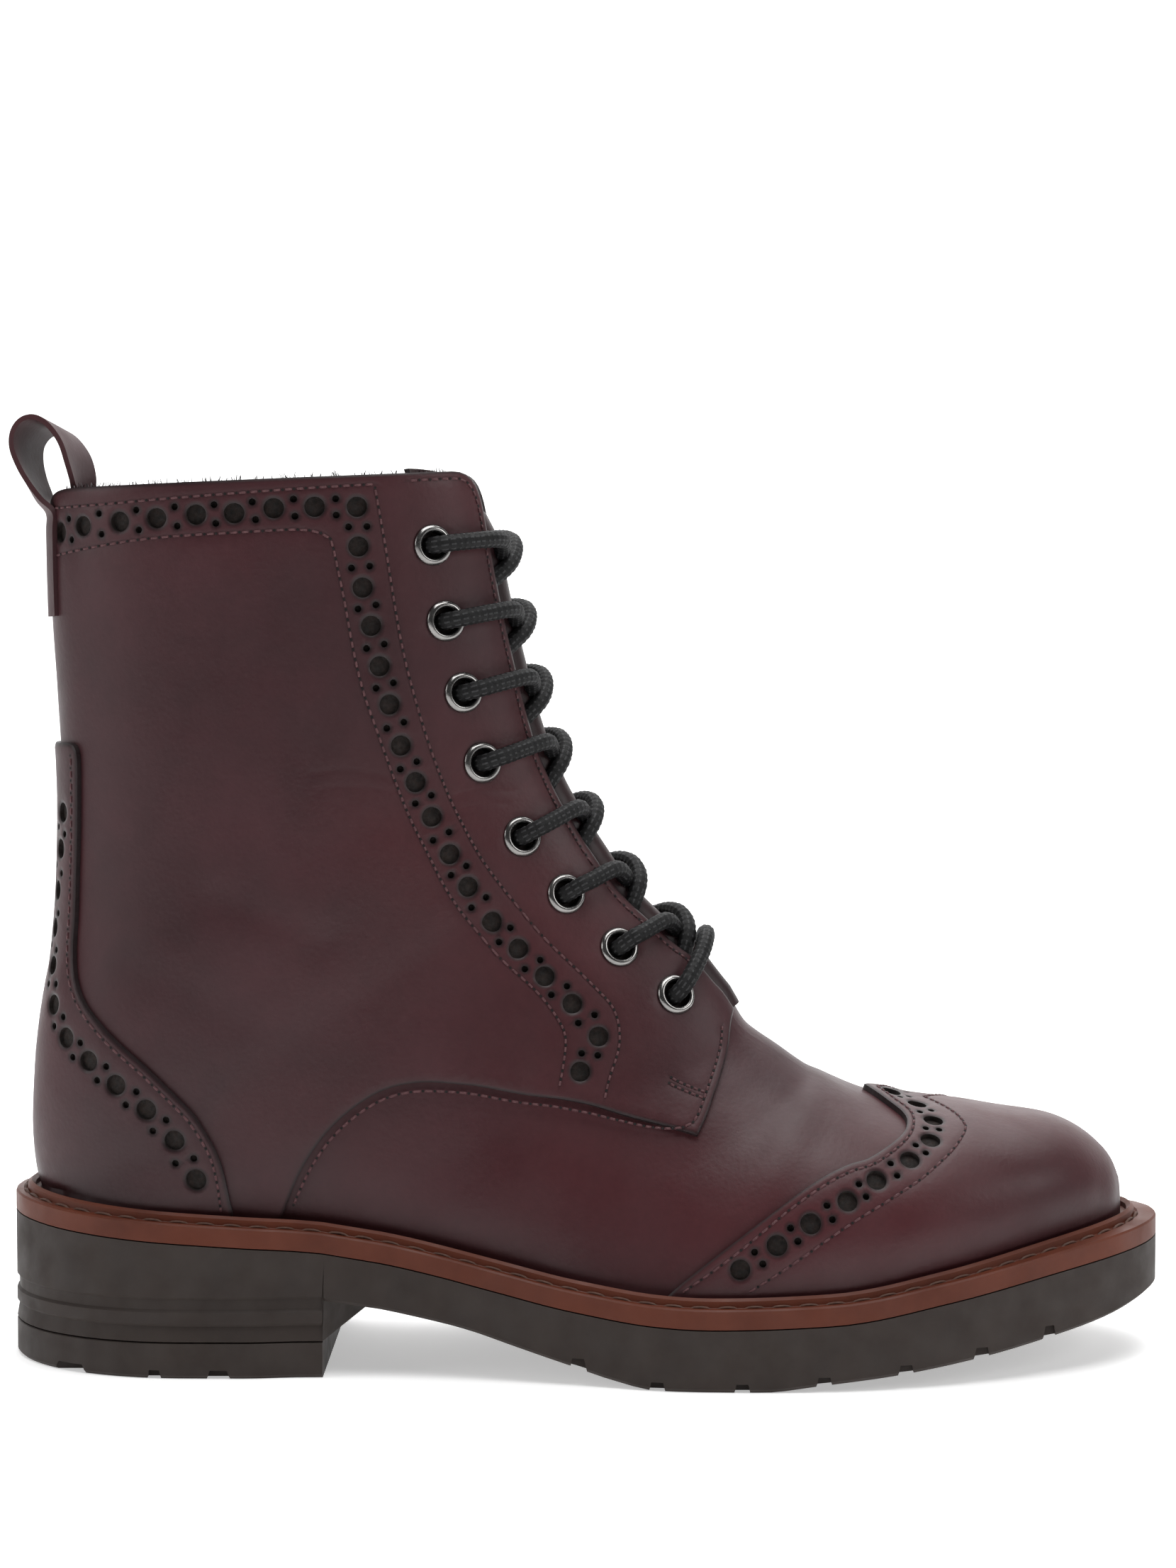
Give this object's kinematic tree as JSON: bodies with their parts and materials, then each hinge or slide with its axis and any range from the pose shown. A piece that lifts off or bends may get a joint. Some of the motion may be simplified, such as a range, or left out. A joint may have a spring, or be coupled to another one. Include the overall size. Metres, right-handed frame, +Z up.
{
  "type": "brogue boot",
  "caption": "Lace-up leather ankle boot with a punched wing cap, heel counter, stitched welt, pull loop and stacked block heel.",
  "frame": {"origin": "on the floor, at the middle of the heel's flat tread", "axes": "+X towards the toe, +Y towards the inner side of the foot, +Z up"},
  "size_m": [0.2767, 0.102, 0.2258],
  "materials": {
    "burgundy_leather": "semi-matte burgundy leather",
    "panel_leather": "semi-matte burgundy leather, dark cut edges",
    "loop_leather": "thin matte burgundy leather strap",
    "insole_leather": "plain tan leather",
    "brown_welt": "waxed brown leather with a stitch groove",
    "dark_rubber": "matte dark brown-grey rubber",
    "dark_nickel": "dark nickel plate",
    "waxed_cord": "round braided waxed cord, charcoal"
  },
  "bodies": {
    "root": {"upper": "burgundy_leather", "tongue": "burgundy_leather", "quarter_outer": "panel_leather", "quarter_inner": "panel_leather", "heel_counter": "panel_leather", "wing_cap": "panel_leather", "insole": "insole_leather", "welt": "brown_welt", "outsole": "dark_rubber", "heel_lift": "dark_rubber", "pull_loop": "loop_leather", "eyelet_outer_1": "dark_nickel", "eyelet_outer_2": "dark_nickel", "eyelet_outer_3": "dark_nickel", "eyelet_outer_4": "dark_nickel", "eyelet_outer_5": "dark_nickel", "eyelet_outer_6": "dark_nickel", "eyelet_outer_7": "dark_nickel", "eyelet_outer_8": "dark_nickel", "eyelet_inner_1": "dark_nickel", "eyelet_inner_2": "dark_nickel", "eyelet_inner_3": "dark_nickel", "eyelet_inner_4": "dark_nickel", "eyelet_inner_5": "dark_nickel", "eyelet_inner_6": "dark_nickel", "eyelet_inner_7": "dark_nickel", "eyelet_inner_8": "dark_nickel", "lace_crossing_1": "waxed_cord", "lace_crossing_2": "waxed_cord", "lace_crossing_3": "waxed_cord", "lace_crossing_4": "waxed_cord", "lace_crossing_5": "waxed_cord", "lace_crossing_6": "waxed_cord", "lace_crossing_7": "waxed_cord", "lace_bar": "waxed_cord"}
  },
  "joints": []
}
